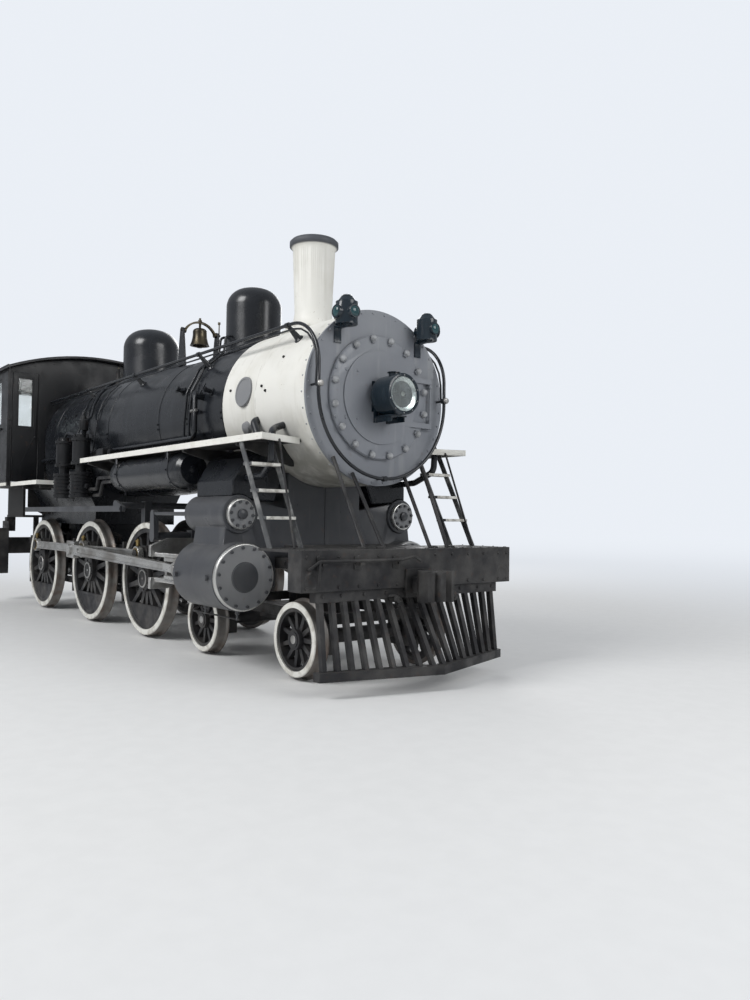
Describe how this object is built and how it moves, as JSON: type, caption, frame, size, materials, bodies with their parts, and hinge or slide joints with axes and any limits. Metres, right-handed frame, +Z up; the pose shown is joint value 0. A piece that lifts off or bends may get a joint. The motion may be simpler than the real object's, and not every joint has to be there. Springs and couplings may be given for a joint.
{
  "type": "steam locomotive",
  "caption": "Steam locomotive with spoked driving wheels joined by side rods, slatted pilot, tall stack, domes and an open-backed cab; runs on rails.",
  "frame": {"origin": "centre of the engine's outline on the ground, at the bottom of the wheel flanges", "axes": "+X forward, +Y to the engine's left, +Z up; longest extent along X"},
  "size_m": [10.56, 3.05, 4.571],
  "materials": {
    "black_paint": "gloss, worn",
    "smokebox_white": "satin",
    "graphite_grey": "satin",
    "trim_white": "satin",
    "rod_steel": "worn bright",
    "tyre_steel": "worn",
    "cast_iron": "matt",
    "ladder_grey": "worn",
    "lamp_black": "gloss",
    "bell_metal": "dull",
    "window_glass": "clear",
    "cab_wood": "oiled",
    "seat_leather": "worn"
  },
  "bodies": {
    "engine": {"air_pumps": "black_paint", "air_reservoirs": "black_paint", "aprons": "black_paint", "backhead": "black_paint", "bell_stand": "black_paint", "board_edges": "trim_white", "boiler": "black_paint", "brakes": "cast_iron", "cab_floor": "cab_wood", "cab_front": "black_paint", "cab_glass": "window_glass", "cab_rear": "black_paint", "cab_roof": "black_paint", "cab_side_left": "black_paint", "cab_side_right": "black_paint", "cab_steps": "black_paint", "class_lamps": "lamp_black", "coupler": "cast_iron", "cross_ties": "cast_iron", "crossheads": "rod_steel", "cylinder_covers": "rod_steel", "cylinders": "black_paint", "firebox": "black_paint", "frames": "black_paint", "guides": "rod_steel", "handrails": "black_paint", "ladders": "ladder_grey", "main_rods": "rod_steel", "pilot": "black_paint", "pilot_beam": "black_paint", "pipes": "black_paint", "rear_casting": "cast_iron", "reverse_lever": "black_paint", "running_boards": "black_paint", "safety_valves": "black_paint", "sand_dome": "black_paint", "seats": "seat_leather", "smokebox": "smokebox_white", "smokebox_front": "graphite_grey", "spring_rigging": "cast_iron", "stack": "smokebox_white", "steam_dome": "black_paint", "steam_pipes": "black_paint", "valve_gear": "cast_iron"},
    "driver_main": {"driver_centres_main": "black_paint", "driver_tyres_main": "tyre_steel"},
    "driver_front": {"driver_centres_front": "black_paint", "driver_tyres_front": "tyre_steel"},
    "driver_rear": {"driver_centres_rear": "black_paint", "driver_tyres_rear": "tyre_steel"},
    "rod_right": {"side_rod_right": "rod_steel"},
    "rod_left": {"side_rod_left": "rod_steel"},
    "truck": {"truck_frame": "cast_iron"},
    "truck_axle_front": {"truck_wheels_front": "black_paint"},
    "truck_axle_rear": {"truck_wheels_rear": "black_paint"},
    "smokebox_door": {"smokebox_door": "graphite_grey", "headlight": "lamp_black"},
    "bell": {"bell": "bell_metal"},
    "cab_door_right": {"cab_door_right": "black_paint"},
    "cab_door_left": {"cab_door_left": "black_paint"}
  },
  "joints": [
    {"name": "main_driver_spin", "type": "hinge", "parent": "engine", "child": "driver_main", "pos_m": [-1.21, 0, 0.739], "axis": [0, 1, 0], "continuous": true},
    {"name": "front_driver_spin", "type": "hinge", "parent": "engine", "child": "driver_front", "pos_m": [0.717, 0, 0.739], "axis": [0, 1, 0], "continuous": true},
    {"name": "rear_driver_spin", "type": "hinge", "parent": "engine", "child": "driver_rear", "pos_m": [-3.34, 0, 0.739], "axis": [0, 1, 0], "continuous": true},
    {"name": "right_rod_pin", "type": "hinge", "parent": "driver_main", "child": "rod_right", "pos_m": [-1.21, -0.915, 1.044], "axis": [0, 1, 0], "continuous": true},
    {"name": "left_rod_pin", "type": "hinge", "parent": "driver_main", "child": "rod_left", "pos_m": [-1.515, 0.915, 0.739], "axis": [0, 1, 0], "continuous": true},
    {"name": "truck_swivel", "type": "hinge", "parent": "engine", "child": "truck", "pos_m": [3.19, 0, 0.628], "axis": [0, 0, 1], "range_deg": [-3, 3]},
    {"name": "truck_front_spin", "type": "hinge", "parent": "truck", "child": "truck_axle_front", "pos_m": [4.103, 0, 0.383], "axis": [0, 1, 0], "continuous": true},
    {"name": "truck_rear_spin", "type": "hinge", "parent": "truck", "child": "truck_axle_rear", "pos_m": [2.277, 0, 0.383], "axis": [0, 1, 0], "continuous": true},
    {"name": "smokebox_door_hinge", "type": "hinge", "parent": "engine", "child": "smokebox_door", "pos_m": [4.342, 0.668, 2.713], "axis": [0, 0, 1], "range_deg": [0, 110]},
    {"name": "bell_swing", "type": "hinge", "parent": "engine", "child": "bell", "pos_m": [0.496, 0, 4.026], "axis": [0, 1, 0], "range_deg": [-50, 50]},
    {"name": "cab_door_right_hinge", "type": "hinge", "parent": "engine", "child": "cab_door_right", "pos_m": [-3.153, -1.39, 2.928], "axis": [0, 0, -1], "range_deg": [0, 90]},
    {"name": "cab_door_left_hinge", "type": "hinge", "parent": "engine", "child": "cab_door_left", "pos_m": [-3.153, 1.39, 2.928], "axis": [0, 0, 1], "range_deg": [0, 90]}
  ],
  "couplings": [
    {"joint": "front_driver_spin", "follows": "main_driver_spin", "ratio": 1},
    {"joint": "rear_driver_spin", "follows": "main_driver_spin", "ratio": 1},
    {"joint": "right_rod_pin", "follows": "main_driver_spin", "ratio": -1},
    {"joint": "left_rod_pin", "follows": "main_driver_spin", "ratio": -1}
  ]
}
